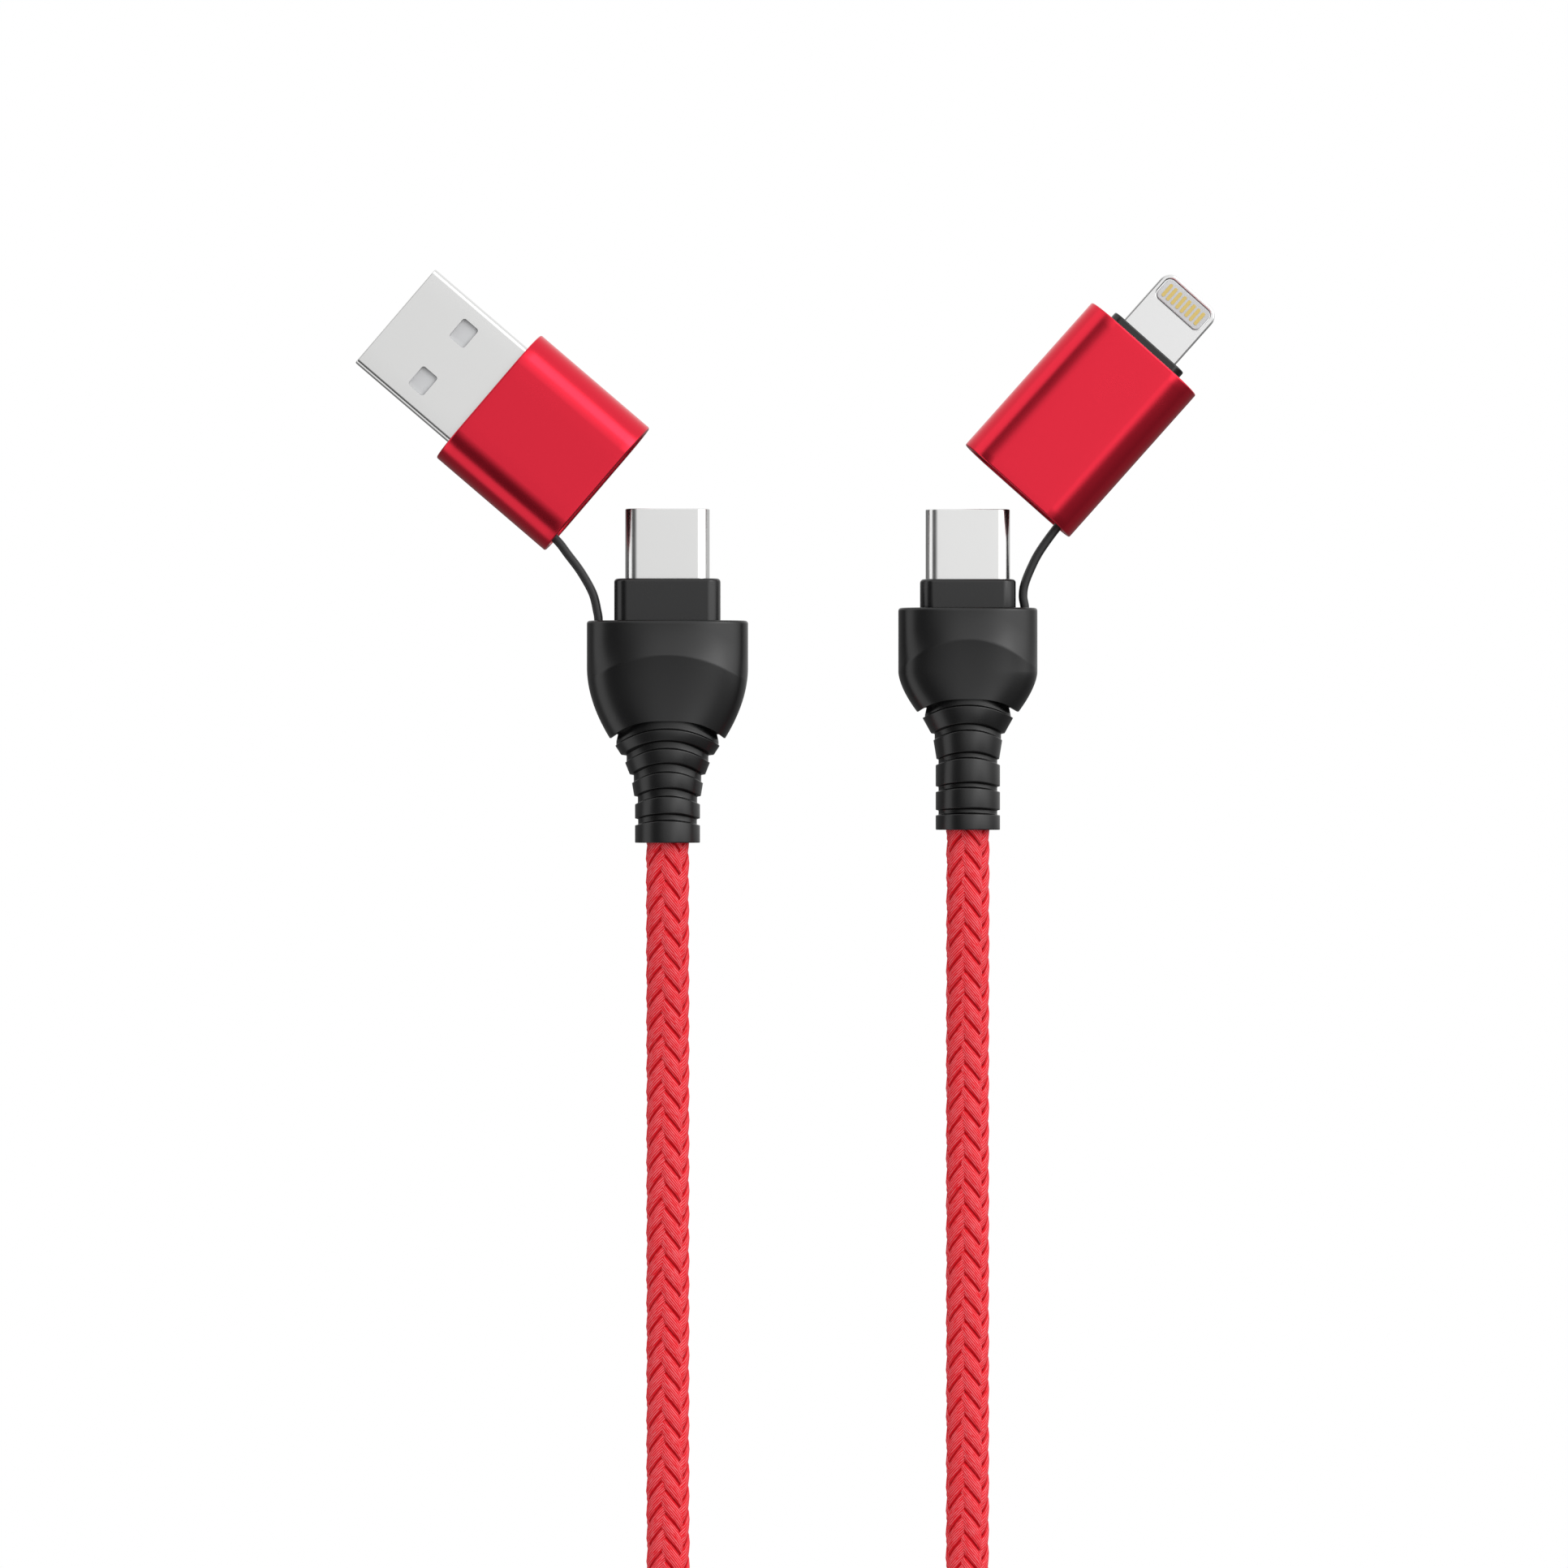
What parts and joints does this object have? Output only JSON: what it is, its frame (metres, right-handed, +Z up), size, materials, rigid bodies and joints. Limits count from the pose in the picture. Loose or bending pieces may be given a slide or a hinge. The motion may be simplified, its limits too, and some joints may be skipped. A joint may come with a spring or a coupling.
{
  "type": "charging cable",
  "caption": "Braided charging cable with a C plug on each end, and tethered metal adapters that turn them into an A plug and an eight-pin phone plug.",
  "frame": {"origin": "on the surface it lies on, under the middle of the box round the two heads and their adapters", "axes": "+Y along the plugs, away from the cord; +X from the host end to the phone end; +Z up off the surface"},
  "size_m": [0.084, 0.1978, 0.0109],
  "materials": {
    "black_moulding": "semi-matt moulded black",
    "black_satin": "satin black",
    "black_insulator": "matt black insulator",
    "red_aluminium": "red anodised, fine satin",
    "plug_steel": "nickel plated, fine bead blast",
    "bright_steel": "bright satin steel",
    "gold_plate": "gold plated",
    "insulator_white": "pale grey insulator",
    "red_braid": "woven nylon yarn",
    "rubber_black": "matt black rubber",
    "board_green": "solder mask green",
    "wire_red": "wire insulation",
    "wire_green": "wire insulation"
  },
  "bodies": {
    "cable": {"cord_coil": "red_braid", "cord_host_leg": "red_braid", "cord_phone_leg": "red_braid", "cord_tie": "rubber_black", "host_board": "board_green", "host_c_contacts_lower": "gold_plate", "host_c_contacts_upper": "gold_plate", "host_c_insert": "black_insulator", "host_c_latch_plate": "plug_steel", "host_c_shell": "plug_steel", "host_collar": "black_satin", "host_crimp": "plug_steel", "host_head_cover": "black_moulding", "host_strain_relief": "black_moulding", "host_strap": "rubber_black", "host_wire_data": "wire_green", "host_wire_power": "wire_red", "phone_board": "board_green", "phone_c_contacts_lower": "gold_plate", "phone_c_contacts_upper": "gold_plate", "phone_c_insert": "black_insulator", "phone_c_latch_plate": "plug_steel", "phone_c_shell": "plug_steel", "phone_collar": "black_satin", "phone_crimp": "plug_steel", "phone_head_cover": "black_moulding", "phone_strain_relief": "black_moulding", "phone_strap": "rubber_black", "phone_wire_data": "wire_green", "phone_wire_power": "wire_red"},
    "host_adapter": {"host_a_contact_1": "gold_plate", "host_a_contact_2": "gold_plate", "host_a_contact_3": "gold_plate", "host_a_contact_4": "gold_plate", "host_a_shell": "plug_steel", "host_a_tongue": "insulator_white", "host_adapter_board": "board_green", "host_adapter_core": "black_insulator", "host_adapter_sleeve": "red_aluminium", "host_adapter_socket_shell": "plug_steel", "host_adapter_socket_tongue": "black_insulator"},
    "phone_adapter": {"phone_adapter_board": "board_green", "phone_adapter_cap": "black_satin", "phone_adapter_chip": "black_satin", "phone_adapter_core": "black_insulator", "phone_adapter_sleeve": "red_aluminium", "phone_adapter_socket_shell": "plug_steel", "phone_adapter_socket_tongue": "black_insulator", "phone_eight_pin_contact_1": "gold_plate", "phone_eight_pin_contact_2": "gold_plate", "phone_eight_pin_contact_3": "gold_plate", "phone_eight_pin_contact_4": "gold_plate", "phone_eight_pin_contact_5": "gold_plate", "phone_eight_pin_contact_6": "gold_plate", "phone_eight_pin_contact_7": "gold_plate", "phone_eight_pin_contact_8": "gold_plate", "phone_eight_pin_frame": "bright_steel", "phone_eight_pin_panel": "insulator_white"}
  },
  "joints": [
    {"name": "host_adapter_swing", "type": "hinge", "parent": "cable", "child": "host_adapter", "pos_m": [-0.0191, -0.0028, 0.0041], "axis": [0, 0, 1], "range_deg": [-49.4, 75], "deforming": ["host_strap"]},
    {"name": "phone_adapter_swing", "type": "hinge", "parent": "cable", "child": "phone_adapter", "pos_m": [0.02403, -0.00136, 0.00375], "axis": [0, 0, 1], "range_deg": [-75, 41.7], "deforming": ["phone_strap"]}
  ]
}
